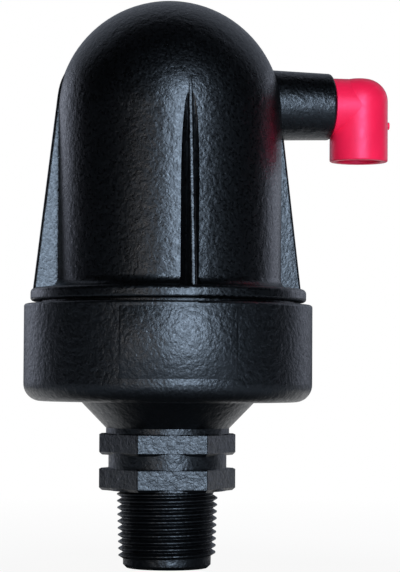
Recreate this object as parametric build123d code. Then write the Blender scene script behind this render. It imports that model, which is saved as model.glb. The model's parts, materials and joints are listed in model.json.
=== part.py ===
from build123d import *
import os
from math import asin, cos, degrees, radians, sin, sqrt

# Automatic air release valve with a rolling rubber seal and a 3/4 inch taper inlet.
# Sizes are in millimetres and degrees. Z = 0 is the open end of the inlet nipple and the
# valve stands up along +Z. The drain leaves on the +X side, and -Y is the front.

# Running and seating gaps between pieces
thread_gap = 0.1          # radial, between plain screwed faces
o_ring_gap = 0.05         # between a seated ring and its groove or wall
running_gap = 0.08        # radial, swivel and pin fits
loose_gap = 0.3           # round a soft or free-standing piece
guide_gap = 0.5           # between the float and what guides it
rim_gap = 0.1             # between the strainer's rim and the skirt
hole_gap = 0.02           # radial, round a screw or pin
cut_over = 1.0            # how far a cutter runs past the face that it opens

# Nipple and inlet bore
nipple_length = 20.7
thread_crest_end_r = 12.95
thread_depth = 1.16
taper = 1 / 32            # radius gained for each millimetre of height
nipple_lip_chamfer = 0.9
bore_r = 8.8
bore_lip_chamfer = 0.5

# Double hexagon with a round groove between
hex_across_flats = 32.0
hex_corner_round = 0.35
hex_chamfer_r = 17.75
hex_chamfer_height = 0.45
hex_top_bevel = 0.35
hex_bottom_bevel = 0.75
lower_hex_height = 6.0
groove_height = 3.5
groove_r = 15.9
upper_hex_height = 5.8
hex_turn = -5.5           # how far the base is screwed past the dome's front rib

# Neck, cone and collar
neck_r = 16.6
neck_height = 1.4
cone_top_r = 23.5
cone_height = 7.1
collar_r = 38.9
collar_height = 26.1
collar_bottom_round = 4.7
collar_top_round = 0.7
collar_bore_r = 34.4
collar_thread_r = 33.9
collar_floor = 4.6
funnel_wall = 4.5

# Strainer disc on the collar floor
strainer_rim_width = 4.4
strainer_rim_height = 3.4
strainer_thickness = 1.8
strainer_slot_width = 1.5
strainer_slots = 20
strainer_hub_r = 6.0
strainer_slot_end_r = 20.5
float_rest_width = 2.4
float_rest_height = 0.8

# Dome
dome_r = 30.4
dome_wall = 3.6
dome_straight = 47.6      # flange top to the middle of the round top
skirt_wall = 4.0
skirt_chamfer = 0.5
skirt_thread_length = 10.6
slit_height = 0.7
flange_r = 37.2
flange_height = 3.5
flange_top_round = 1.2
flange_bottom_round = 0.9
flange_blend_r = 2.7
bore_taper_height = 4.5

# Gusset ribs and the scalloped channels they stand in
rib_thickness = 1.7
rib_lean = 6.8
rib_edge_round = 0.7
rib_root_depth = 2.2      # how far a rib is rooted in the dome's wall
side_rib_proud = 0.45     # how far the ribs in the boss's plane stand out round the dome's top
side_rib_fade_angle = 11.0  # where their top starts to sink into the dome
side_rib_fade_rise = 10.4   # from the dome's middle to their last trace
front_rib_proud = 0.1     # the front and back ribs end nearly flush with the dome
front_rib_fade_angle = 8.2
front_rib_fade_rise = 6.4
channel_cutter_r = 3.0
channel_depth = 1.35
channel_rise = 3.6        # from the dome's middle to the channel's point
channel_run_out = 24.5    # height over which the channel swings out of the wall
channel_overshoot = 1.3   # share of the swing that the cutter makes

# Guide ribs inside the dome
guide_thickness = 2.0
guide_reach = 5.4
guide_bite = 1.4          # how far a guide rib is rooted in the wall
guide_start = 4.4         # from the skirt's lower end
guide_end = 8.4           # below the dome's middle

# Boss for the drain
boss_rise = 3.1           # above the dome's middle
boss_length = 14.3        # from the dome's side
boss_root_r = 9.6
boss_end_r = 9.1
boss_edge_round = 0.8
boss_bore_r = 7.0
boss_bore_depth = 12.7
boss_bite = 1.1           # how far the boss and its pad are rooted in the dome's wall
pad_reach = 3.8           # how far the inner pad stands in from the dome's inner wall
snap_groove_depth = 0.35
snap_groove_width = 1.4
snap_groove_back = 4.9    # from the boss end to the middle of the groove

# Orifice plug
plug_head_r = 9.6
plug_head_flat = 14.0
plug_neck_r = 4.7
plug_bore_r = 2.0
seat_top_x = -1.0
seat_rise = 9.0           # from the boss axis to the seat's top
seat_lean = 30.0          # from the vertical
slot_length = 9.0
slot_width = 1.6
slot_depth = 7.0
slot_share = 0.6          # share of the slot's depth at which the round bore meets it
slot_drop = 8.0           # seat top to slot middle, down the seat
plug_ring_cord = 1.2
plug_ring_setback = 4.4   # from the plug's shoulder to the ring's middle
plug_ring_groove_width = 1.8

# Nut on the plug
nut_across_flats = 11.2
nut_height = 4.0
nut_cover = 0.6           # how far the plug's neck ends inside the nut

# Rolling seal strip and its plates
strip_thickness = 1.6
strip_width = 10.0
strip_loop_r = 2.15
strip_turn_r = 1.5
cover_drop = 18.0         # seat top to plate middle, down the seat
cover_length = 5.0
cover_thickness = 1.0
clip_length = 3.6
clip_thickness = 1.2
plate_width = 12.0
screw_r = 1.0
screw_head_r = 1.6
screw_head_height = 0.8
screw_spacing = 6.6
screw_length = 6.0

# Float, stem and pin
travel = 10.0
float_side_gap = 4.0      # between the float and the dome's inner wall
float_bottom_chamfer = 3.0
float_top_round = 5.0
float_height = 44.0
float_core_r = 7.0
float_core_depth = 26.0
float_core_tip = 3.5      # height of the core's conical end
float_boss_r = 12.5
float_boss_height = 6.0
stem_width = 10.0
stem_pad_top = 1.5        # seat top to pad top, down the seat, valve shut
stem_pad_length = 11.7
stem_top_depth = 5.5
stem_relief = 3.0
stem_relief_end = 22.0    # seat top to relief end, down the seat, valve shut
stem_relief_step = 1.0    # down the seat, from the pad's end to the relief's floor
strip_shift = 0.3         # from the middle of the stem's top to the middle of the clip
stem_foot_depth = 8.0
stem_squeeze_gap = 0.1
pin_r = 1.25
pin_length = 23.0
pin_end_chamfer = 0.25
pin_drop = 3.5            # boss top to pin axis

# Drain elbow
elbow_r = 8.0
elbow_leg_r = 7.9
elbow_drop = 15.0         # boss axis to the mouth
elbow_corner_r = 6.3
elbow_socket_r = 6.1
elbow_socket_depth = 9.5
elbow_bore_r = 5.3
elbow_bore_round = 3.0
elbow_top_wall = 2.2
elbow_mouth_round = 0.5
elbow_gap = 0.3
spigot_bore_r = 4.4
spigot_length = 7.6
bead_height = 0.25
bead_width = 1.0
elbow_ring_cord = 1.3
elbow_ring_back = 2.6     # from the boss end to the ring's middle
elbow_ring_groove_width = 1.9
gate_nub_r = 1.0
gate_nub_height = 0.6
gate_nub_drop = 4.8       # below the boss axis

# Body ring between dome and base
body_ring_cord = 2.2
body_ring_drop = 2.2      # collar top to ring middle
body_ring_groove_width = 2.8

# Levels that follow from the sizes above
lower_hex_top = nipple_length + lower_hex_height
groove_top = lower_hex_top + groove_height
upper_hex_top = groove_top + upper_hex_height
cone_bottom = upper_hex_top + neck_height
collar_bottom = cone_bottom + cone_height
collar_top = collar_bottom + collar_height
floor_z = collar_bottom + collar_floor
skirt_bottom = floor_z + strainer_rim_height + rim_gap
flange_bottom = collar_top + slit_height
flange_top = flange_bottom + flange_height
dome_equator = flange_top + dome_straight
channel_point = dome_equator + channel_rise
channel_straight_top = channel_point - channel_run_out
guide_bottom = skirt_bottom + guide_start
guide_top = dome_equator - guide_end
boss_axis = dome_equator + boss_rise
boss_end_x = dome_r + boss_length
pad_x = dome_r - dome_wall - pad_reach
seat_top_z = boss_axis + seat_rise
skirt_r = collar_thread_r - thread_gap
skirt_neck_r = collar_bore_r - thread_gap
skirt_inner_r = skirt_r - skirt_wall
dome_inner_r = dome_r - dome_wall
float_r = dome_inner_r - float_side_gap
body_ring_z = collar_top - body_ring_drop
body_ring_groove_r = skirt_neck_r - body_ring_cord
nipple_root_end_r = thread_crest_end_r - thread_depth
float_rest_z = floor_z + strainer_thickness + float_rest_height
float_bottom = float_rest_z + loose_gap
float_top = float_bottom + float_height
float_boss_top = float_top + float_boss_height
nut_seat_x = boss_end_x - boss_bore_depth
plug_neck_end_x = nut_seat_x + nut_height - nut_cover
plug_ring_x = pad_x + plug_ring_setback
elbow_face_x = boss_end_x + elbow_gap
elbow_axis_x = elbow_face_x + elbow_r
elbow_top_z = boss_axis + elbow_r
elbow_mouth_z = boss_axis - elbow_drop
gate_nub_z = boss_axis - gate_nub_drop


# Small helpers

def turned(edges):
    """A closed outline of (radius, height) turned about the valve's axis."""
    return revolve(Plane.XZ * make_face(edges), Axis.Z)


def turned_points(points):
    """A closed outline of straight lines turned about the valve's axis."""
    return turned(Polyline(*points, close=True))


def at_boss(shape, x=0.0):
    """Lay a shape made along Z on the boss axis, its base at the given X."""
    return Pos(x, 0, boss_axis) * Rot(0, 90, 0) * shape


def rod(radius, length):
    """A cylinder that starts at Z = 0 and runs up."""
    return Cylinder(radius, length, align=(Align.CENTER, Align.CENTER, Align.MIN))


def ring(middle_r, cord):
    """A rubber ring round the Z axis."""
    return Torus(middle_r, cord / 2)


# The seat's own plane: its first axis points away from the seat, its second up along it.
seat_out = Vector(-cos(radians(seat_lean)), 0, -sin(radians(seat_lean)))
seat_plane = Plane(origin=(seat_top_x, 0, seat_top_z), x_dir=seat_out, z_dir=(0, 1, 0))


def seat_block(out_low, out_high, up_low, up_high, width):
    """A box given by its reach away from the seat and up along it, centred across the valve."""
    middle = ((out_low + out_high) / 2, (up_low + up_high) / 2)
    box = Box(out_high - out_low, up_high - up_low, width)
    return seat_plane * Pos(middle[0], middle[1], 0) * box


def seat_pair(radius, out_low, out_high, up):
    """Two rods that stand on the seat's plane, side by side across the valve."""
    length = out_high - out_low
    one = Rot(0, 90, 0) * rod(radius, length)
    pair = [seat_plane * Pos(out_low, up, side * screw_spacing / 2) * one for side in (-1, 1)]
    return Compound(children=pair)


def solids_of(shape):
    """The plain solids of a shape."""
    return list(shape.solids())


# Base: collar, cone, double hexagon and nipple in one moulding

def hexagon(bottom, height):
    """A spanner hexagon: its flats are bevelled at both ends and its corners rounded and turned."""
    sharp = RegularPolygon(hex_across_flats / 2, 6, major_radius=False)
    flat_height = height - hex_bottom_bevel - hex_top_bevel
    low = Rot(180, 0, 0) * extrude(sharp, amount=hex_bottom_bevel, taper=45)
    high = Pos(0, 0, flat_height) * extrude(sharp, amount=hex_top_bevel, taper=45)
    bevelled = low + extrude(sharp, amount=flat_height) + high
    rounded = extrude(fillet(sharp.vertices(), hex_corner_round), amount=height)
    rounded = Pos(0, 0, bottom) * rounded
    reach = hex_across_flats
    limit = turned_points([
        (0, bottom),
        (hex_chamfer_r, bottom),
        (reach, bottom + hex_chamfer_height * (reach - hex_chamfer_r)),
        (reach, bottom + height - hex_chamfer_height * (reach - hex_chamfer_r)),
        (hex_chamfer_r, bottom + height),
        (0, bottom + height),
    ])
    return Pos(0, 0, bottom + hex_bottom_bevel) * bevelled & rounded & limit


def base_turning():
    funnel_shift = funnel_wall * sqrt(2)
    slope = (cone_top_r - neck_r) / cone_height
    funnel_top_r = neck_r - funnel_shift + slope * (floor_z - cone_bottom)
    funnel_bottom_z = cone_bottom + (bore_r - neck_r + funnel_shift) / slope
    root_hex_r = nipple_root_end_r + taper * nipple_length
    round_r = collar_bottom_round
    below = Polyline(
        (bore_r + bore_lip_chamfer, 0),
        (nipple_root_end_r - nipple_lip_chamfer, 0),
        (nipple_root_end_r, nipple_lip_chamfer),
        (root_hex_r, nipple_length),
        (groove_r, nipple_length),
        (groove_r, upper_hex_top),
        (neck_r, upper_hex_top),
        (neck_r, cone_bottom),
        (cone_top_r, collar_bottom),
        (collar_r - round_r, collar_bottom),
    )
    bottom_corner = CenterArc((collar_r - round_r, collar_bottom + round_r), round_r, -90, 90)
    side = Line((collar_r, collar_bottom + round_r), (collar_r, collar_top - collar_top_round))
    top_corner = CenterArc(
        (collar_r - collar_top_round, collar_top - collar_top_round), collar_top_round, 0, 90)
    thread_top = skirt_bottom + skirt_thread_length + thread_gap
    lead = collar_bore_r - collar_thread_r
    inside = Polyline(
        (collar_r - collar_top_round, collar_top),
        (collar_bore_r + collar_top_round, collar_top),
        (collar_bore_r, collar_top - collar_top_round),
        (collar_bore_r, thread_top + lead),
        (collar_thread_r, thread_top),
        (collar_thread_r, floor_z),
        (funnel_top_r, floor_z),
        (bore_r, funnel_bottom_z),
        (bore_r, bore_lip_chamfer),
        (bore_r + bore_lip_chamfer, 0),
    )
    return turned([below, bottom_corner, side, top_corner, inside])


def make_base():
    hexes = hexagon(nipple_length, lower_hex_height) + hexagon(groove_top, upper_hex_height)
    through = rod(bore_r + dome_wall, upper_hex_top)
    return base_turning() + Rot(0, 0, hex_turn) * (hexes - through)


# Strainer: slotted disc whose rim is held under the dome's skirt

def make_strainer():
    rim_r = collar_thread_r - loose_gap
    rim_inner_r = rim_r - strainer_rim_width
    top = floor_z + strainer_thickness
    disc = turned_points([
        (0, floor_z),
        (rim_r, floor_z),
        (rim_r, floor_z + strainer_rim_height),
        (rim_inner_r, floor_z + strainer_rim_height),
        (rim_inner_r, top),
        (0, top),
    ])
    rests = Box(2 * (rim_inner_r - loose_gap), float_rest_width, float_rest_height)
    rests = Pos(0, 0, top + float_rest_height / 2) * rests
    disc = disc + rests + Rot(0, 0, 90) * rests
    slot_length_here = strainer_slot_end_r - strainer_hub_r
    slot_middle = (strainer_slot_end_r + strainer_hub_r) / 2
    slot = Pos(slot_middle, 0, top) * Box(slot_length_here, strainer_slot_width, 4 * strainer_thickness)
    step = 360 / strainer_slots
    slots = [Rot(0, 0, step * (index + 0.5)) * slot for index in range(strainer_slots)]
    return disc - slots


# Body ring in the groove of the dome's neck

def make_body_ring():
    middle = (body_ring_groove_r + collar_bore_r) / 2
    return Pos(0, 0, body_ring_z) * ring(middle, body_ring_cord + thread_gap - 2 * o_ring_gap)


# Dome with its skirt, flange, channels, ribs and boss

def dome_turning():
    half_groove = body_ring_groove_width / 2
    thread_top = skirt_bottom + skirt_thread_length
    lead = skirt_neck_r - skirt_r
    low = Polyline(
        (skirt_inner_r, skirt_bottom),
        (skirt_r - skirt_chamfer, skirt_bottom),
        (skirt_r, skirt_bottom + skirt_chamfer),
        (skirt_r, thread_top),
        (skirt_neck_r, thread_top + lead),
        (skirt_neck_r, body_ring_z - half_groove),
        (body_ring_groove_r, body_ring_z - half_groove),
        (body_ring_groove_r, body_ring_z + half_groove),
        (skirt_neck_r, body_ring_z + half_groove),
        (skirt_neck_r, flange_bottom),
        (flange_r - flange_bottom_round, flange_bottom),
    )
    lip_low = CenterArc(
        (flange_r - flange_bottom_round, flange_bottom + flange_bottom_round),
        flange_bottom_round, -90, 90)
    edge = Line(
        (flange_r, flange_bottom + flange_bottom_round), (flange_r, flange_top - flange_top_round))
    lip_high = CenterArc(
        (flange_r - flange_top_round, flange_top - flange_top_round), flange_top_round, 0, 90)
    land = Line((flange_r - flange_top_round, flange_top), (dome_r + flange_blend_r, flange_top))
    blend = CenterArc(
        (dome_r + flange_blend_r, flange_top + flange_blend_r), flange_blend_r, -90, -90)
    wall = Line((dome_r, flange_top + flange_blend_r), (dome_r, dome_equator))
    crown = CenterArc((0, dome_equator), dome_r, 0, 90)
    drop = Line((0, dome_equator + dome_r), (0, dome_equator + dome_inner_r))
    ceiling = CenterArc((0, dome_equator), dome_inner_r, 90, -90)
    inner = Polyline(
        (dome_inner_r, dome_equator),
        (dome_inner_r, flange_top + bore_taper_height / 2),
        (skirt_inner_r, flange_top - bore_taper_height / 2),
        (skirt_inner_r, skirt_bottom),
    )
    return turned([low, lip_low, edge, lip_high, land, blend, wall, crown, drop, ceiling, inner])


def channel_cutter():
    """A round cutter that runs up the wall, then swings out until it leaves it at a point."""
    centre_r = dome_r - channel_depth + channel_cutter_r
    run_out = channel_point - channel_straight_top
    swing_r = (run_out ** 2 + channel_depth ** 2) / (2 * channel_depth)
    swing = degrees(asin(run_out / swing_r)) * channel_overshoot
    straight = Line((centre_r, flange_top), (centre_r, channel_straight_top))
    bend = CenterArc((centre_r + swing_r, channel_straight_top), swing_r, 180, -swing)
    path = Plane.XZ * Wire([straight.edge(), bend.edge()])
    start = Plane(origin=(centre_r, 0, flange_top), z_dir=(0, 0, 1))
    return sweep(start * Circle(channel_cutter_r), path=path)


def gusset_rib(proud, fade_angle, fade_rise):
    """A thin rib: an arc round the dome's top, then a straight edge that leans out to the flange."""
    top_r = dome_r + proud
    lean = radians(rib_lean)
    tangent_point = (top_r * cos(lean), dome_equator + top_r * sin(lean))
    foot_r = (top_r + (dome_equator - flange_top) * sin(lean)) / cos(lean)
    fade_r = sqrt(dome_r ** 2 - fade_rise ** 2)
    fade_top = dome_equator + fade_rise
    fade_start = radians(fade_angle)
    fade_point = (top_r * cos(fade_start), dome_equator + top_r * sin(fade_start))
    root_r = dome_r - rib_root_depth
    sunk_r = fade_r - side_rib_proud
    arc = CenterArc((0, dome_equator), top_r, rib_lean, fade_angle - rib_lean)
    fade = TangentArc(fade_point, (fade_r, fade_top), tangent=(-sin(fade_start), cos(fade_start)))
    outline = [
        Line((root_r, flange_bottom + flange_height / 2), (foot_r, flange_bottom + flange_height / 2)),
        Line((foot_r, flange_bottom + flange_height / 2), (foot_r, flange_top)),
        Line((foot_r, flange_top), tangent_point),
        arc,
        fade,
        Polyline((fade_r, fade_top), (sunk_r, fade_top), (root_r, dome_equator),
                 (root_r, flange_bottom + flange_height / 2)),
    ]
    rib = extrude(Plane.XZ * make_face(outline), amount=rib_thickness / 2, both=True)
    crest = rib.edges().filter_by(lambda edge: on_rib_crest(edge, fade_r))
    return fillet(crest, rib_edge_round)


def on_rib_crest(edge, fade_r):
    """Tell whether an edge runs along the outer border of the rib, at either side."""
    middle = edge.position_at(0.5)
    ends = [edge.position_at(0), edge.position_at(1)]
    along = abs(ends[0].Y - ends[1].Y) < 0.01
    return along and middle.Z > flange_top and min(ends[0].X, ends[1].X) > fade_r - 0.01


def guide_rib():
    """A rib inside the dome that keeps the float upright and stops it turning."""
    outer_r = dome_inner_r + guide_bite
    inner_r = dome_inner_r - guide_reach
    height = guide_top - guide_bottom
    rib = Pos((outer_r + inner_r) / 2, 0, guide_bottom + height / 2)
    rib = rib * Box(outer_r - inner_r, guide_thickness, height)
    skirt_outer_r = skirt_inner_r + guide_bite
    wide = Pos((skirt_outer_r + inner_r) / 2, 0, (guide_bottom + flange_bottom) / 2)
    wide = wide * Box(skirt_outer_r - inner_r, guide_thickness, flange_bottom - guide_bottom)
    return rib + wide


def boss_outside():
    start_x = dome_inner_r + boss_bite
    length = boss_end_x - start_x
    cone = Cone(boss_root_r, boss_end_r, length, align=(Align.CENTER, Align.CENTER, Align.MIN))
    cone = fillet(cone.edges().sort_by(Axis.Z)[-1], boss_edge_round)
    pad = at_boss(rod(plug_head_r, start_x + boss_bite / 2 - pad_x), pad_x)
    return at_boss(cone, start_x) + pad


def boss_hollow():
    neck_hole_length = nut_seat_x - pad_x + 2 * cut_over
    neck_hole = at_boss(rod(plug_neck_r + running_gap, neck_hole_length), pad_x - cut_over)
    socket = at_boss(rod(boss_bore_r, boss_bore_depth + cut_over), nut_seat_x)
    groove = rod(boss_bore_r + snap_groove_depth, snap_groove_width)
    groove_x = boss_end_x - snap_groove_back - snap_groove_width / 2
    return neck_hole + socket + at_boss(groove, groove_x)


def make_dome():
    dome = dome_turning()
    turns = [90 * index for index in range(4)]
    dome = dome - [Rot(0, 0, turn) * channel_cutter() for turn in turns]
    side_rib = gusset_rib(side_rib_proud, side_rib_fade_angle, side_rib_fade_rise)
    front_rib = gusset_rib(front_rib_proud, front_rib_fade_angle, front_rib_fade_rise)
    dome = dome + [Rot(0, 0, turn) * side_rib for turn in (0, 180)]
    dome = dome + [Rot(0, 0, turn) * front_rib for turn in (90, 270)]
    dome = dome + [Rot(0, 0, turn + 45) * guide_rib() for turn in turns]
    dome = dome + boss_outside()
    return dome - boss_hollow()


# Orifice plug: a turned plug with side flats, cut off at the seat's slope

def make_plug():
    head_start = seat_top_x - plug_head_r
    head = at_boss(rod(plug_head_r, pad_x - head_start), head_start)
    far = 4 * plug_head_r
    head = head & Pos(pad_x / 2, 0, boss_axis) * Box(2 * far, plug_head_flat, far)
    neck = at_boss(rod(plug_neck_r, plug_neck_end_x - pad_x), pad_x)
    waste = seat_block(0, far, -far, far, far)
    plug = head + neck - waste
    slot = seat_block(-slot_depth, cut_over,
                      -slot_drop - slot_length / 2, -slot_drop + slot_length / 2, slot_width)
    slot_x = seat_top_x + slot_drop * sin(radians(seat_lean)) + slot_depth * slot_share
    bore = at_boss(rod(plug_bore_r, plug_neck_end_x + cut_over - slot_x), slot_x)
    groove_r = plug_neck_r + running_gap - plug_ring_cord
    groove = rod(plug_neck_r + cut_over, plug_ring_groove_width) - rod(groove_r, plug_ring_groove_width)
    groove = at_boss(groove, plug_ring_x - plug_ring_groove_width / 2)
    holes = seat_pair(screw_r + hole_gap, cover_thickness - screw_length, cut_over, -cover_drop)
    return plug - slot - bore - groove - solids_of(holes)


def make_plug_ring():
    groove_r = plug_neck_r + running_gap - plug_ring_cord
    middle = (groove_r + plug_neck_r + running_gap) / 2
    return at_boss(ring(middle, plug_ring_cord - 2 * o_ring_gap), plug_ring_x)


def make_plug_nut():
    nut = extrude(RegularPolygon(nut_across_flats / 2, 6, major_radius=False), amount=nut_height)
    nut = nut - rod(plug_neck_r + running_gap, nut_height)
    return at_boss(nut, nut_seat_x)


def make_plug_cover():
    low = strip_thickness
    plate = seat_block(low, low + cover_thickness,
                       -cover_drop - cover_length / 2, -cover_drop + cover_length / 2, plate_width)
    holes = seat_pair(screw_r + hole_gap, low - cut_over, low + cover_thickness + cut_over, -cover_drop)
    return plate - solids_of(holes)


def screw(head_at):
    """One screw that points down Z: its head stands on the given height."""
    shank = Pos(0, 0, head_at - screw_length) * rod(screw_r, screw_length)
    return shank + Pos(0, 0, head_at) * rod(screw_head_r, screw_head_height)


def make_cover_screws():
    one = Rot(0, 90, 0) * screw(strip_thickness + cover_thickness)
    pair = [seat_plane * Pos(0, -cover_drop, side * screw_spacing / 2) * one for side in (-1, 1)]
    return Compound(children=pair)


# Stem on the float, drawn with the valve shut and then dropped by the travel

stem_pad_out = strip_thickness + stem_squeeze_gap
stem_top_up = -stem_pad_top
stem_top_mid = stem_pad_out + stem_top_depth / 2 + strip_shift


def stem_corner(out, up):
    """A corner of the stem in the XZ plane from its place at the seat, with the float down."""
    point = seat_plane.from_local_coords(Vector(out, up, 0))
    return (point.X, point.Z - travel)


def make_stem():
    front_top = stem_corner(stem_pad_out, stem_top_up)
    pad_end = stem_corner(stem_pad_out, stem_top_up - stem_pad_length)
    relief_up = stem_top_up - stem_pad_length - stem_relief_step
    relief = stem_corner(stem_pad_out + stem_relief, relief_up)
    relief_low = stem_corner(stem_pad_out + stem_relief, -stem_relief_end)
    back_top = stem_corner(stem_pad_out + stem_top_depth, stem_top_up)
    foot = float_boss_top - stem_foot_depth
    outline = Polyline(front_top, pad_end, relief, relief_low, (relief_low[0], foot),
                       (back_top[0], foot), back_top, close=True)
    stem = extrude(Plane.XZ * make_face(outline), amount=stem_width / 2, both=True)
    pin_hole = Cylinder(pin_r + hole_gap, pin_length)
    pin_hole = Pos(0, 0, float_boss_top - pin_drop) * Rot(90, 0, 0) * pin_hole
    return stem - pin_hole - solids_of(clip_screw_holes())


def clip_place():
    """The plane on the stem's top where the strip's upper end is clamped, float down."""
    corner = stem_corner(stem_top_mid, stem_top_up)
    return Plane(origin=(corner[0], 0, corner[1]), x_dir=(0, 1, 0), z_dir=seat_plane.y_dir)


def clip_screw_holes():
    top = strip_thickness + clip_thickness
    one = Pos(0, 0, top - screw_length) * rod(screw_r + hole_gap, screw_length)
    pair = [clip_place() * Pos(side * screw_spacing / 2, 0, 0) * one for side in (-1, 1)]
    return Compound(children=pair)


def make_seal_clip():
    plate = Box(plate_width, clip_length, clip_thickness, align=(Align.CENTER, Align.CENTER, Align.MIN))
    plate = clip_place() * Pos(0, 0, strip_thickness) * plate
    return plate - solids_of(clip_screw_holes())


def make_clip_screws():
    one = screw(strip_thickness + clip_thickness)
    pair = [clip_place() * Pos(side * screw_spacing / 2, 0, 0) * one for side in (-1, 1)]
    return Compound(children=pair)


# Rolling seal: up from its cover plate, over in a loop and onto the stem's top

def seal_path():
    """The strip's middle line on the seat's plane, with the float down."""
    half = strip_thickness / 2
    drop_out = travel * sin(radians(seat_lean))
    drop_up = travel * cos(radians(seat_lean))
    stem_top = stem_top_up - drop_up + half
    clip_middle = stem_top_mid + drop_out
    turn_out = half + 2 * strip_loop_r + strip_turn_r
    loop_up = stem_top + strip_turn_r
    tail = Line((half, -cover_drop - cover_length / 2), (half, loop_up))
    loop = CenterArc((half + strip_loop_r, loop_up), strip_loop_r, 180, -180)
    turn = CenterArc((turn_out, loop_up), strip_turn_r, 180, 90)
    end = Line((turn_out, stem_top), (clip_middle + clip_length / 2, stem_top))
    return Wire([tail.edge(), loop.edge(), turn.edge(), end.edge()])


def make_rolling_seal():
    path = seat_plane * seal_path()
    start = path.position_at(0)
    section_plane = Plane(origin=start, x_dir=(0, 1, 0), z_dir=seat_plane.y_dir)
    strip = sweep(section_plane * Rectangle(strip_width, strip_thickness), path=path)
    cover_holes = seat_pair(screw_r + hole_gap, -cut_over, strip_thickness + cut_over, -cover_drop)
    return strip - solids_of(cover_holes) - solids_of(clip_screw_holes())


# Float and its pin

def make_float():
    top_round = float_top_round
    chamfer_r = float_r - float_bottom_chamfer
    low = Polyline(
        (float_core_r, float_bottom + float_core_depth),
        (float_core_r, float_bottom),
        (chamfer_r, float_bottom),
        (float_r, float_bottom + float_bottom_chamfer),
        (float_r, float_top - top_round),
    )
    shoulder = CenterArc((float_r - top_round, float_top - top_round), top_round, 0, 90)
    high = Polyline(
        (float_r - top_round, float_top),
        (float_boss_r, float_top),
        (float_boss_r, float_boss_top),
        (0, float_boss_top),
        (0, float_bottom + float_core_depth + float_core_tip),
        (float_core_r, float_bottom + float_core_depth),
    )
    body = turned([low, shoulder, high])
    groove_floor_r = dome_inner_r - guide_reach - guide_gap
    groove = Box(float_r, guide_thickness + 2 * guide_gap, 2 * float_height,
                 align=(Align.MIN, Align.CENTER, Align.CENTER))
    groove = Pos(groove_floor_r, 0, float_bottom + float_height / 2) * groove
    body = body - [Rot(0, 0, 90 * index + 45) * groove for index in range(4)]
    foot_low = float_boss_top - stem_foot_depth - loose_gap
    back_x = stem_corner(stem_pad_out + stem_top_depth, stem_top_up)[0] - loose_gap / 2
    front_x = stem_corner(stem_pad_out + stem_relief, -stem_relief_end)[0] + loose_gap / 2
    slot = Box(front_x - back_x, stem_width + loose_gap, stem_foot_depth + cut_over,
               align=(Align.MIN, Align.CENTER, Align.MIN))
    pin_hole = Pos(0, 0, float_boss_top - pin_drop) * Rot(90, 0, 0) * Cylinder(
        pin_r + hole_gap, 4 * float_boss_r)
    return body - Pos(back_x, 0, foot_low) * slot - pin_hole


def make_pin():
    pin = Cylinder(pin_r, pin_length)
    pin = chamfer(pin.edges(), pin_end_chamfer)
    return Pos(0, 0, float_boss_top - pin_drop) * Rot(90, 0, 0) * pin


# Drain elbow: a leg closed at its rounded top, a short branch to the boss and a spigot in it

def make_elbow():
    leg = Pos(elbow_axis_x, 0, elbow_mouth_z) * rod(elbow_r, elbow_top_z - elbow_mouth_z)
    leg = fillet(leg.edges().sort_by(Axis.Z)[-1], elbow_corner_r)
    branch = at_boss(rod(elbow_leg_r, elbow_axis_x - elbow_face_x), elbow_face_x)
    spigot_r = boss_bore_r - running_gap
    spigot_start = boss_end_x - spigot_length
    spigot = at_boss(rod(spigot_r, elbow_axis_x - spigot_start), spigot_start)
    bead_middle = boss_end_x - snap_groove_back
    bead = at_boss(rod(spigot_r + bead_height, bead_width), bead_middle - bead_width / 2)
    nub = Rot(0, 90, 0) * rod(gate_nub_r, elbow_r / 2 + gate_nub_height)
    nub = Pos(elbow_axis_x + elbow_r / 2, 0, gate_nub_z) * nub
    elbow = leg + branch + spigot + bead + nub
    drop_bore = rod(elbow_bore_r, elbow_top_z - elbow_top_wall - elbow_mouth_z)
    drop_bore = fillet(drop_bore.edges().sort_by(Axis.Z)[-1], elbow_bore_round)
    drop_bore = drop_bore + rod(elbow_socket_r, elbow_socket_depth)
    drop_bore = Pos(elbow_axis_x, 0, elbow_mouth_z) * drop_bore
    side_bore = rod(spigot_bore_r, elbow_axis_x - spigot_start + cut_over)
    side_bore = at_boss(side_bore, spigot_start - cut_over)
    groove_r = boss_bore_r - elbow_ring_cord
    groove = rod(boss_bore_r + cut_over, elbow_ring_groove_width) - rod(groove_r, elbow_ring_groove_width)
    groove = at_boss(groove, boss_end_x - elbow_ring_back - elbow_ring_groove_width / 2)
    elbow = elbow - drop_bore - side_bore - groove
    mouth = elbow.edges().filter_by(GeomType.CIRCLE).group_by(Axis.Z)[0]
    return fillet(mouth, elbow_mouth_round)


def make_elbow_ring():
    groove_r = boss_bore_r - elbow_ring_cord
    middle = (groove_r + boss_bore_r) / 2
    return at_boss(ring(middle, elbow_ring_cord - 2 * o_ring_gap), boss_end_x - elbow_ring_back)


# Write each piece to its own file

pieces = {
    "base": make_base(),
    "inlet_strainer": make_strainer(),
    "body_o_ring": make_body_ring(),
    "body_dome": make_dome(),
    "orifice_plug": make_plug(),
    "plug_o_ring": make_plug_ring(),
    "plug_nut": make_plug_nut(),
    "plug_cover": make_plug_cover(),
    "cover_screws": make_cover_screws(),
    "rolling_seal": make_rolling_seal(),
    "seal_clip": make_seal_clip(),
    "clip_screws": make_clip_screws(),
    "clamping_stem": make_stem(),
    "stem_pin": make_pin(),
    "float": make_float(),
    "drain_elbow": make_elbow(),
    "elbow_o_ring": make_elbow_ring(),
}

os.makedirs("parts", exist_ok=True)
for name, piece in pieces.items():
    export_step(piece, f"parts/{name}.step")
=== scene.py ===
"""Looks of an automatic air release valve: black nylon body, red swivel elbow, taper inlet."""
import json
from math import atan2, cos, degrees, radians, sin, sqrt

import bpy
from mathutils import Matrix, Vector

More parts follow.
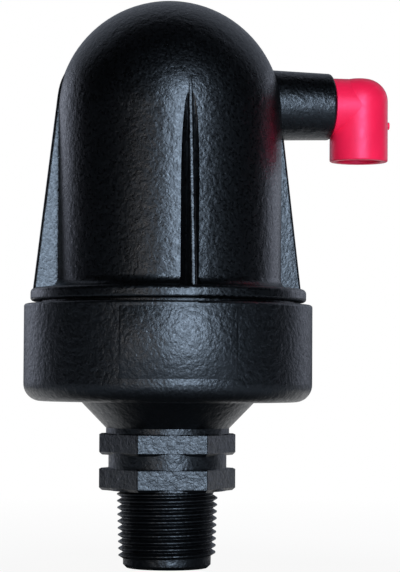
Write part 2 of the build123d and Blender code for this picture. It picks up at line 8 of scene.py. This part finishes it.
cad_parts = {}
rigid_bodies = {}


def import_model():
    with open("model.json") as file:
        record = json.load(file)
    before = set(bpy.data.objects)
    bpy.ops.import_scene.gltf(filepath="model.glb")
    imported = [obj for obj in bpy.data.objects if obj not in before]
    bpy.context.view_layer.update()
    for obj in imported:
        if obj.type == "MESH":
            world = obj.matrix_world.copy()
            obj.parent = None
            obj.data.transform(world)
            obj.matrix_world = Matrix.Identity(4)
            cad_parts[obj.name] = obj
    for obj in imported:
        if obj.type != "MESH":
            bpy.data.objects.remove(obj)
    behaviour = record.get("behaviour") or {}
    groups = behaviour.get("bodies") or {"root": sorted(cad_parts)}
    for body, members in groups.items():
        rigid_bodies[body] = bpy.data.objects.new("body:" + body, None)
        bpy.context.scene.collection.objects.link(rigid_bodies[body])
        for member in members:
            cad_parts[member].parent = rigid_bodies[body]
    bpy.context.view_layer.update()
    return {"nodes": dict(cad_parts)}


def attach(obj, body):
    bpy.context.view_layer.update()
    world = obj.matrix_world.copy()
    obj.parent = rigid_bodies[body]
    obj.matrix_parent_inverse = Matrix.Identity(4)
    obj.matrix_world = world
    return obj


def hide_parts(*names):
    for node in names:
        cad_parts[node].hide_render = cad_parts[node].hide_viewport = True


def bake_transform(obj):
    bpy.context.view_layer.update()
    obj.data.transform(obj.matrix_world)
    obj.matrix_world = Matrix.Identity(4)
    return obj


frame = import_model()

MM = 0.001

# Nipple, its thread and the collar, as in the CAD solids
ROOT_END_R = 11.79 * MM
TAPER = 1 / 32
THREAD_PITCH = 1.814 * MM
THREAD_DEPTH = 1.16 * MM
THREAD_FOOT = 1.70 * MM
THREAD_CREST = 0.26 * MM
THREAD_START = 2.4 * MM
THREAD_TURNS = 10
THREAD_STEPS = 96
THREAD_SINK = 0.15 * MM
THREAD_FADE = 50
COLLAR_R = 38.9 * MM
PANEL_LEFT = -28.7
PANEL_RIGHT = 17.1
PANEL_BOTTOM = 50.7 * MM
PANEL_TOP = 69.2 * MM
PANEL_PROUD = 0.12 * MM

# Rolling seal, valve open: places out from the plug's seat and up along it, in millimetres
SEAT_TOP = (-1.0, 0, 134.5)
SEAT_LEAN = 30
STRIP_WIDTH = 10 * MM
STRIP_THICKNESS = 1.6 * MM
STRIP_FOOT = (0.8, -20.5)
LOOP_START = (0.8, -7.86)
LOOP_MIDDLE = (2.95, -7.86)
TURN_MIDDLE = (6.6, -7.86)
TURN_END = (6.6, -9.36)
STRIP_END = (11.55, -9.36)
STRIP_EDGE = 0.2 * MM
STRIP_SAME = 0.1 * MM      # how near a corner lies to the strip's end to belong to it
LOOP_STEPS = 16
TURN_STEPS = 8
SCREW_HOLE_R = 1.02 * MM
SCREW_SIDE = 3.3
COVER_HOLES = (0.8, -18.0)
CLIP_HOLES = (9.75, -9.36)

# Camera: where the photograph was taken from, about the valve's axis
CAMERA_AZIMUTH = -10.3
CAMERA_DISTANCE = 0.5995
CAMERA_HEIGHT = 0.0517
CAMERA_PITCH = 2.296
CAMERA_YAW = 0.814
CAMERA_ROLL = 0.324
CAMERA_FOCAL = 2219.3      # in pixels of a picture 572 pixels high
PICTURE_LONG_SIDE = 572
SENSOR = 36.0

# Grain of the moulded nylon, in noise cells to the metre
GRAIN_FINE = 1400
GRAIN_COARSE = 520
UNEVENNESS = 60
# The faint blue in the nylon's colour and the bluish specular tint below are a painted cool cast: a blue
# sheen that stands in for cool light.
NYLON_SHADE = (0.0005, 0.0005, 0.0006)
NYLON_SHEEN_BLUE = (0.75, 0.86, 1.0, 1)
PLAIN_TINT = (1, 1, 1, 1)

# Studio: a pale floor with painted shade under the valve, a card behind the valve that glows though it is no
# lamp and shows only in reflections, and a weak even fill
FILL = 0.004
FLOOR_R = 4.0
FLOOR_DROP = 0.2 * MM
FLOOR_SHADOW = (0.05, 0.35)    # distances between which the floor turns fully white
FLOOR_PAINTED_SHADE = (0.05, 0.13)     # distances between which its colour goes from the painted shade under the valve to pale
CARD_MIDDLE = (0.03, 0.5, 0.1 * MM)
CARD_WIDE = 0.36
CARD_DEEP = 1.0
CARD_EDGE = (0.002, 0.035)     # its near edge fades in
# Strength of the card's glow, a light that shows only as reflection
CARD_GLOW = 0.8
COOL = (0.80, 0.90, 1.0)
COOL_EDGE = (0.80, 0.84, 1.0)
COOL_BACK = (0.78, 0.85, 1.0)
WARM = (1.0, 0.84, 0.72)


def make_camera():
    """The camera looks at the valve from a little to its left, tilted slightly up."""
    azimuth = radians(CAMERA_AZIMUTH)
    place = Vector((sin(azimuth) * CAMERA_DISTANCE, -cos(azimuth) * CAMERA_DISTANCE, CAMERA_HEIGHT))
    forward = Vector((-sin(azimuth), cos(azimuth), 0))
    right = Vector((cos(azimuth), sin(azimuth), 0))
    up = Vector((0, 0, 1))
    yaw = radians(CAMERA_YAW)
    forward, right = forward * cos(yaw) + right * sin(yaw), right * cos(yaw) - forward * sin(yaw)
    pitch = radians(CAMERA_PITCH)
    forward, up = forward * cos(pitch) + up * sin(pitch), up * cos(pitch) - forward * sin(pitch)
    roll = radians(CAMERA_ROLL)
    right, up = right * cos(roll) + up * sin(roll), up * cos(roll) - right * sin(roll)
    data = bpy.data.cameras.new("camera")
    data.sensor_width = SENSOR
    data.lens = CAMERA_FOCAL / PICTURE_LONG_SIDE * SENSOR
    data.clip_start, data.clip_end = 0.01, 50
    camera = bpy.data.objects.new("camera", data)
    turn = Matrix((right, up, -forward)).transposed()
    camera.matrix_world = Matrix.Translation(place) @ turn.to_4x4()
    bpy.context.scene.collection.objects.link(camera)
    bpy.context.scene.camera = camera


def clear_selection():
    for thing in bpy.context.view_layer.objects:
        thing.select_set(False)


def start_edit(piece):
    """Only this piece is selected and active, and it is opened with nothing selected in it."""
    clear_selection()
    piece.select_set(True)
    bpy.context.view_layer.objects.active = piece
    bpy.ops.object.mode_set(mode="EDIT")
    bpy.ops.mesh.select_all(action="DESELECT")


def end_edit():
    bpy.ops.object.mode_set(mode="OBJECT")


def select_faces(piece, wanted):
    """Select the faces whose centre and normal the given test accepts."""
    bpy.ops.object.mode_set(mode="OBJECT")
    mesh = piece.data
    for part in (mesh.vertices, mesh.edges, mesh.polygons):
        part.foreach_set("select", [False] * len(part))
    for face in mesh.polygons:
        face.select = wanted(face.center, face.normal)
    bpy.ops.object.mode_set(mode="EDIT")
    bpy.ops.mesh.select_mode(type="FACE")


def apply_modifiers(piece):
    clear_selection()
    piece.select_set(True)
    bpy.context.view_layer.objects.active = piece
    for modifier in list(piece.modifiers):
        bpy.ops.object.modifier_apply(modifier=modifier.name)


def settle(piece, name):
    """Name a piece and put its place into its mesh."""
    clear_selection()
    piece.select_set(True)
    bpy.context.view_layer.objects.active = piece
    bpy.ops.object.transform_apply(location=True, rotation=True, scale=True)
    piece.name = name
    piece.data.name = name


def clean_normals(piece):
    start_edit(piece)
    bpy.ops.mesh.select_all(action="SELECT")
    bpy.ops.mesh.remove_doubles(threshold=0.000001)
    bpy.ops.mesh.normals_make_consistent(inside=False)
    end_edit()


def smooth(piece, angle):
    clear_selection()
    piece.select_set(True)
    bpy.context.view_layer.objects.active = piece
    bpy.ops.object.shade_smooth_by_angle(angle=radians(angle))


# Thread: one ridge wound up the nipple's cone

def make_thread(material):
    """A flat profile is shaped from a plane, wound up by a screw, then tapered and faded."""
    clear_selection()
    bpy.ops.mesh.primitive_plane_add(size=1, location=(0, 0, 0), rotation=(radians(90), 0, 0))
    piece = bpy.context.object
    settle(piece, "inlet_thread")
    inner = ROOT_END_R - THREAD_SINK
    crest = ROOT_END_R + THREAD_DEPTH
    sink_share = THREAD_SINK / THREAD_DEPTH
    foot = THREAD_FOOT + (THREAD_FOOT - THREAD_CREST) * sink_share
    start_edit(piece)
    bpy.ops.mesh.select_all(action="SELECT")
    bpy.ops.transform.resize(value=(crest - inner, 1, foot))
    bpy.ops.transform.translate(value=((crest + inner) / 2, 0, THREAD_START))
    end_edit()
    for vertex in piece.data.vertices:
        if vertex.co.x > ROOT_END_R:
            vertex.co.z = THREAD_START + (vertex.co.z - THREAD_START) * THREAD_CREST / foot
    start_edit(piece)
    bpy.ops.mesh.select_all(action="SELECT")
    bpy.ops.mesh.delete(type="ONLY_FACE")
    end_edit()
    winding = piece.modifiers.new("winding", "SCREW")
    winding.axis = "Z"
    winding.screw_offset = THREAD_PITCH
    winding.iterations = THREAD_TURNS
    winding.steps = winding.render_steps = THREAD_STEPS
    winding.use_smooth_shade = False
    apply_modifiers(piece)
    shape_thread(piece)
    start_edit(piece)
    bpy.ops.mesh.select_mode(type="EDGE")
    bpy.ops.mesh.select_non_manifold()
    bpy.ops.mesh.edge_face_add()
    end_edit()
    clean_normals(piece)
    smooth(piece, 30)
    piece.data.materials.append(material)
    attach(piece, "housing")


def shape_thread(piece):
    """Lean the ridge out with the cone's taper, and let both of its ends sink into the cone."""
    for vertex in piece.data.vertices:
        radius = sqrt(vertex.co.x ** 2 + vertex.co.y ** 2)
        turn = degrees(atan2(vertex.co.y, vertex.co.x)) % 360
        ridge = vertex.co.z - THREAD_START
        wound = round((ridge / THREAD_PITCH * 360 - turn) / 360) * 360 + turn
        wound = max(0, min(360 * THREAD_TURNS, wound))
        from_end = min(wound, 360 * THREAD_TURNS - wound)
        share = min(1, from_end / THREAD_FADE)
        share = share * share * (3 - 2 * share)
        root = ROOT_END_R - THREAD_SINK
        new_radius = root + (radius - root) * share + TAPER * vertex.co.z
        vertex.co.x *= new_radius / radius
        vertex.co.y *= new_radius / radius


# Collar panel: the plain plate of the mould's insert, which stands a hair proud

def make_panel(material):
    middle = radians((PANEL_LEFT + PANEL_RIGHT) / 2)
    half = radians((PANEL_RIGHT - PANEL_LEFT) / 2)
    toward = Vector((sin(middle), -cos(middle), 0))
    clear_selection()
    bpy.ops.mesh.primitive_cylinder_add(
        vertices=360, radius=COLLAR_R + PANEL_PROUD, depth=PANEL_TOP - PANEL_BOTTOM, end_fill_type="NOTHING",
        location=(0, 0, (PANEL_TOP + PANEL_BOTTOM) / 2))
    piece = bpy.context.object
    settle(piece, "collar_panel")
    start_edit(piece)
    select_faces(piece, lambda centre, normal: Vector((centre.x, centre.y, 0)).angle(toward) > half)
    bpy.ops.mesh.delete(type="FACE")
    end_edit()
    wall = piece.modifiers.new("wall", "SOLIDIFY")
    wall.thickness = PANEL_PROUD * 2
    wall.offset = -1
    edge = piece.modifiers.new("edge", "BEVEL")
    edge.width = PANEL_PROUD * 0.8
    edge.segments = 2
    edge.limit_method = "ANGLE"
    edge.angle_limit = radians(50)
    apply_modifiers(piece)
    smooth(piece, 30)
    piece.data.materials.append(material)
    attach(piece, "housing")


# Rolling seal: a strip that goes up the seat, over in a loop and onto the stem's top

def seat_place(out, up, across=0.0):
    """A place given by its distance out from the seat and up along it, in millimetres."""
    lean = radians(SEAT_LEAN)
    away = Vector((-cos(lean), 0, -sin(lean)))
    along = Vector((-sin(lean), 0, cos(lean)))
    return (Vector(SEAT_TOP) + away * out + along * up + Vector((0, across, 0))) * MM


def select_upper_end(piece):
    """Open a flat strip for editing with only the edge at its upper end selected."""
    start_edit(piece)
    bpy.ops.mesh.select_mode(type="EDGE")
    end_edit()
    top = max(vertex.co.z for vertex in piece.data.vertices)
    for vertex in piece.data.vertices:
        vertex.select = vertex.co.z > top - STRIP_SAME
    for edge in piece.data.edges:
        edge.select = all(piece.data.vertices[index].select for index in edge.vertices)
    bpy.ops.object.mode_set(mode="EDIT")


def cut_hole(piece, place, direction):
    """Bore one screw hole through the strip with a round cutter."""
    clear_selection()
    bpy.ops.mesh.primitive_cylinder_add(
        vertices=32, radius=SCREW_HOLE_R, depth=STRIP_THICKNESS * 3, location=place,
        rotation=direction.to_track_quat("Z", "Y").to_euler())
    cutter = bpy.context.object
    hole = piece.modifiers.new("hole", "BOOLEAN")
    hole.operation = "DIFFERENCE"
    hole.solver = "EXACT"
    hole.object = cutter
    apply_modifiers(piece)
    bpy.data.objects.remove(cutter)


def make_rolling_seal(material):
    """The flat run is a plane, the loop and the turn are spun from its end, and it gets its wall last."""
    length = LOOP_START[1] - STRIP_FOOT[1]
    clear_selection()
    bpy.ops.mesh.primitive_plane_add(
        size=1, location=seat_place(STRIP_FOOT[0], STRIP_FOOT[1] + length / 2),
        rotation=(0, radians(-90 - SEAT_LEAN), 0))
    piece = bpy.context.object
    piece.scale = (length * MM, STRIP_WIDTH, 1)
    settle(piece, "rolling_strip")
    select_upper_end(piece)
    loop = seat_place(*LOOP_MIDDLE)
    turn = seat_place(*TURN_MIDDLE)
    last_run = seat_place(*STRIP_END) - seat_place(*TURN_END)
    bpy.ops.mesh.spin(steps=LOOP_STEPS, angle=radians(180), center=loop, axis=(0, 1, 0))
    bpy.ops.mesh.spin(steps=TURN_STEPS, angle=radians(-90), center=turn, axis=(0, 1, 0))
    bpy.ops.mesh.extrude_region_move(TRANSFORM_OT_translate={"value": last_run})
    end_edit()
    clean_normals(piece)
    wall = piece.modifiers.new("wall", "SOLIDIFY")
    wall.thickness = STRIP_THICKNESS
    wall.offset = 0
    wall.use_even_offset = True
    edge = piece.modifiers.new("edge", "BEVEL")
    edge.width = STRIP_EDGE
    edge.segments = 2
    edge.limit_method = "ANGLE"
    edge.angle_limit = radians(50)
    apply_modifiers(piece)
    away = seat_place(1, 0) - seat_place(0, 0)
    along = seat_place(0, 1) - seat_place(0, 0)
    for side in (-SCREW_SIDE, SCREW_SIDE):
        cut_hole(piece, seat_place(*COVER_HOLES, side), away)
        cut_hole(piece, seat_place(*CLIP_HOLES, side), along)
    smooth(piece, 30)
    piece.data.materials.append(material)
    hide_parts("rolling_seal")
    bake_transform(piece)


# Materials

def new_material(name):
    material = bpy.data.materials.new(name)
    material.use_nodes = True
    tree = material.node_tree
    shader = tree.nodes["Principled BSDF"]
    return material, tree, shader


def add_noise(tree, source, scale, detail=3.0, rough=0.6):
    noise = tree.nodes.new("ShaderNodeTexNoise")
    noise.inputs["Scale"].default_value = scale
    noise.inputs["Detail"].default_value = detail
    noise.inputs["Roughness"].default_value = rough
    tree.links.new(source, noise.inputs["Vector"])
    return noise


def add_range(tree, value, low, high, to_low, to_high):
    node = tree.nodes.new("ShaderNodeMapRange")
    node.inputs["From Min"].default_value = low
    node.inputs["From Max"].default_value = high
    node.inputs["To Min"].default_value = to_low
    node.inputs["To Max"].default_value = to_high
    tree.links.new(value, node.inputs["Value"])
    return node.outputs["Result"]


def add_bump(tree, height, distance, strength, before=None):
    bump = tree.nodes.new("ShaderNodeBump")
    bump.inputs["Distance"].default_value = distance
    bump.inputs["Strength"].default_value = strength
    tree.links.new(height, bump.inputs["Height"])
    if before is not None:
        tree.links.new(before, bump.inputs["Normal"])
    return bump.outputs["Normal"]


def make_nylon(name, shade, rough_low, rough_high, grain, tint, level):
    """Moulded nylon: a fine spark-eroded grain over a slight unevenness. level is its specular level."""
    material, tree, shader = new_material(name)
    place = tree.nodes.new("ShaderNodeTexCoord").outputs["Object"]
    fine = add_noise(tree, place, GRAIN_FINE, 2.0, 0.6)
    coarse = add_noise(tree, place, GRAIN_COARSE, 2.0, 0.55)
    broad = add_noise(tree, place, UNEVENNESS, 3.0, 0.5)
    ramp = tree.nodes.new("ShaderNodeValToRGB")
    ramp.color_ramp.elements[0].position = 0.3
    ramp.color_ramp.elements[0].color = (shade[0] * 0.6, shade[1] * 0.6, shade[2] * 0.6, 1)
    ramp.color_ramp.elements[1].position = 0.75
    ramp.color_ramp.elements[1].color = (shade[0] * 1.5, shade[1] * 1.5, shade[2] * 1.5, 1)
    tree.links.new(broad.outputs["Fac"], ramp.inputs["Fac"])
    tree.links.new(ramp.outputs["Color"], shader.inputs["Base Color"])
    rough = add_range(tree, fine.outputs["Fac"], 0.35, 0.65, rough_low, rough_high)
    tree.links.new(rough, shader.inputs["Roughness"])
    normal = add_bump(tree, coarse.outputs["Fac"], grain * 2.0, 1.0)
    normal = add_bump(tree, fine.outputs["Fac"], grain, 1.0, normal)
    tree.links.new(normal, shader.inputs["Normal"])
    shader.inputs["Specular IOR Level"].default_value = level
    # tint colours the highlights; where it is not white it is a painted sheen
    shader.inputs["Specular Tint"].default_value = tint
    return material


def make_plastic(name, colour, rough, tint=PLAIN_TINT):
    """Moulded plastic of one colour, a little uneven in shade and shine."""
    material, tree, shader = new_material(name)
    place = tree.nodes.new("ShaderNodeTexCoord").outputs["Object"]
    fine = add_noise(tree, place, 900, 3.0, 0.5)
    broad = add_noise(tree, place, 90, 2.0, 0.5)
    ramp = tree.nodes.new("ShaderNodeValToRGB")
    ramp.color_ramp.elements[0].position = 0.3
    ramp.color_ramp.elements[0].color = tuple(c * 0.9 for c in colour) + (1,)
    ramp.color_ramp.elements[1].position = 0.7
    ramp.color_ramp.elements[1].color = tuple(min(1, c * 1.08) for c in colour) + (1,)
    tree.links.new(broad.outputs["Fac"], ramp.inputs["Fac"])
    tree.links.new(ramp.outputs["Color"], shader.inputs["Base Color"])
    value = add_range(tree, fine.outputs["Fac"], 0.3, 0.7, rough - 0.05, rough + 0.07)
    tree.links.new(value, shader.inputs["Roughness"])
    tree.links.new(add_bump(tree, fine.outputs["Fac"], 0.00002, 1.0), shader.inputs["Normal"])
    # tint colours the highlights; where it is not white it is a painted sheen
    shader.inputs["Specular Tint"].default_value = tint
    return material


def make_steel():
    """Plain drawn stainless steel, a little uneven in its shine."""
    material, tree, shader = new_material("steel")
    place = tree.nodes.new("ShaderNodeTexCoord").outputs["Object"]
    fine = add_noise(tree, place, 1200, 2.0, 0.5)
    shader.inputs["Base Color"].default_value = (0.58, 0.58, 0.57, 1)
    shader.inputs["Metallic"].default_value = 1.0
    tree.links.new(add_range(tree, fine.outputs["Fac"], 0.3, 0.7, 0.22, 0.36), shader.inputs["Roughness"])
    return material


def dress(node, material):
    """Give a CAD node one material in all its slots."""
    data = frame["nodes"][node].data
    if not data.materials:
        data.materials.append(material)
    for index in range(len(data.materials)):
        data.materials[index] = material


# Floor, world and lamps

def make_world():
    world = bpy.data.worlds.new("studio")
    bpy.context.scene.world = world
    world.use_nodes = True
    tree = world.node_tree
    tree.nodes.clear()
    out = tree.nodes.new("ShaderNodeOutputWorld")
    seen = tree.nodes.new("ShaderNodeBackground")
    seen.inputs["Color"].default_value = (1, 1, 1, 1)
    seen.inputs["Strength"].default_value = 1.0
    fill = tree.nodes.new("ShaderNodeBackground")
    fill.inputs["Color"].default_value = (0.92, 0.95, 1, 1)
    fill.inputs["Strength"].default_value = FILL
    path = tree.nodes.new("ShaderNodeLightPath")
    mix = tree.nodes.new("ShaderNodeMixShader")
    tree.links.new(path.outputs["Is Camera Ray"], mix.inputs[0])
    tree.links.new(fill.outputs[0], mix.inputs[1])
    tree.links.new(seen.outputs[0], mix.inputs[2])
    tree.links.new(mix.outputs[0], out.inputs[0])


def make_floor():
    """A pale floor, plain white to the camera, with the valve's soft shadow under and round it. Under the
    valve its colour is painted dark: a painted shade that the glossy parts reflect, and that deepens the
    shadow the camera sees.
    """
    place_below = (0, 0, -FLOOR_DROP)
    bpy.ops.mesh.primitive_circle_add(vertices=96, radius=FLOOR_R, fill_type="NGON", location=place_below)
    floor = bpy.context.object
    floor.name = "floor"
    material, tree, shader = new_material("pale_floor")
    shader.inputs["Roughness"].default_value = 0.8
    glow = tree.nodes.new("ShaderNodeEmission")
    place = tree.nodes.new("ShaderNodeTexCoord")
    away = tree.nodes.new("ShaderNodeVectorMath")
    away.operation = "LENGTH"
    tree.links.new(place.outputs["Object"], away.inputs[0])
    white = add_range(tree, away.outputs["Value"], *FLOOR_SHADOW, 0.93, 1.0)
    # The floor's colour is painted shade: dark under the valve, pale from about 0.13 m out.
    pale = add_range(tree, away.outputs["Value"], *FLOOR_PAINTED_SHADE, 0.1, 0.85)
    tree.links.new(pale, shader.inputs["Base Color"])
    path = tree.nodes.new("ShaderNodeLightPath")
    share = tree.nodes.new("ShaderNodeMath")
    share.operation = "MULTIPLY"
    mix = tree.nodes.new("ShaderNodeMixShader")
    tree.links.new(path.outputs["Is Camera Ray"], share.inputs[0])
    tree.links.new(white, share.inputs[1])
    tree.links.new(share.outputs[0], mix.inputs[0])
    tree.links.new(shader.outputs[0], mix.inputs[1])
    tree.links.new(glow.outputs[0], mix.inputs[2])
    tree.links.new(mix.outputs[0], tree.nodes["Material Output"].inputs["Surface"])
    floor.data.materials.append(material)


def make_card():
    """A card on the floor behind the valve that glows though it is no lamp. It shows only in what is glossy,
    as a painted reflection in the glossy parts.
    """
    bpy.ops.mesh.primitive_plane_add(size=1, location=CARD_MIDDLE)
    card = bpy.context.object
    card.scale = (CARD_WIDE, CARD_DEEP, 1)
    settle(card, "glowing_card")
    material = bpy.data.materials.new("card_glow")
    material.use_nodes = True
    tree = material.node_tree
    tree.nodes.clear()
    out = tree.nodes.new("ShaderNodeOutputMaterial")
    glow = tree.nodes.new("ShaderNodeEmission")
    place = tree.nodes.new("ShaderNodeTexCoord")
    split = tree.nodes.new("ShaderNodeSeparateXYZ")
    tree.links.new(place.outputs["Object"], split.inputs[0])
    strength = add_range(tree, split.outputs["Y"], *CARD_EDGE, 0.0, CARD_GLOW)
    tree.links.new(strength, glow.inputs["Strength"])
    tree.links.new(glow.outputs[0], out.inputs["Surface"])
    card.data.materials.append(material)
    card.visible_camera = card.visible_diffuse = card.visible_shadow = False


def make_lamp(name, place, target, wide, high, power, colour):
    data = bpy.data.lights.new(name, "AREA")
    data.shape = "RECTANGLE"
    data.size, data.size_y = wide, high
    data.energy = power
    data.color = colour
    lamp = bpy.data.objects.new(name, data)
    look = Vector(target) - Vector(place)
    lamp.matrix_world = Matrix.Translation(place) @ look.to_track_quat("-Z", "Y").to_matrix().to_4x4()
    lamp.visible_camera = False
    bpy.context.scene.collection.objects.link(lamp)
    return lamp


bpy.context.scene.view_settings.view_transform = "Standard"
make_camera()
make_world()
make_floor()
make_card()
make_lamp("key", (0.05, -0.75, 0.22), (0, 0, 0.12), wide=0.30, high=0.44, power=6.2, colour=COOL)
make_lamp("low_left", (-0.41, -0.63, 0.055), (0, 0, 0.055), wide=0.26, high=0.11, power=0.4, colour=WARM)
make_lamp("left_edge", (-0.70, 0.974, 0.25), (0, 0, 0.1), wide=0.69, high=0.5, power=1.2, colour=COOL_EDGE)
make_lamp("right_edge", (1.02, 0.63, 0.25), (0, 0, 0.1), wide=0.69, high=0.5, power=0.8, colour=COOL_EDGE)
make_lamp("back", (0.25, 1.0, 1.0), (0, 0, 0.6), wide=3.3, high=1.9, power=8.5, colour=COOL_BACK)

black_nylon = make_nylon("black_nylon", NYLON_SHADE, 0.26, 0.40, 0.08 * MM, NYLON_SHEEN_BLUE, 0.5)
base_nylon = make_nylon("base_nylon", NYLON_SHADE, 0.30, 0.44, 0.10 * MM, NYLON_SHEEN_BLUE, 0.6)
black_rubber = make_nylon("black_rubber", (0.02, 0.02, 0.02), 0.6, 0.75, 0.02 * MM, PLAIN_TINT, 0.5)
# Red plastic: its red is its own, while the blue in its colour and its magenta specular tint paint on a pink
# sheen that stands in for cool light.
red_plastic = make_plastic("red_plastic", (0.97, 0.014, 0.07), 0.42, (1.0, 0.5, 1.0, 1))
natural_nylon = make_plastic("natural_nylon", (0.55, 0.56, 0.52), 0.45)
float_foam = make_plastic("float_foam", (0.75, 0.74, 0.70), 0.6)
steel = make_steel()
for node in ("body_dome", "orifice_plug", "plug_nut", "plug_cover", "seal_clip", "clamping_stem"):
    dress(node, black_nylon)
for node in ("body_o_ring", "plug_o_ring", "elbow_o_ring", "rolling_seal"):
    dress(node, black_rubber)
for node in ("cover_screws", "clip_screws", "stem_pin"):
    dress(node, steel)
dress("base", base_nylon)
dress("inlet_strainer", natural_nylon)
dress("float", float_foam)
dress("drain_elbow", red_plastic)

make_thread(base_nylon)
make_panel(base_nylon)
make_rolling_seal(black_rubber)
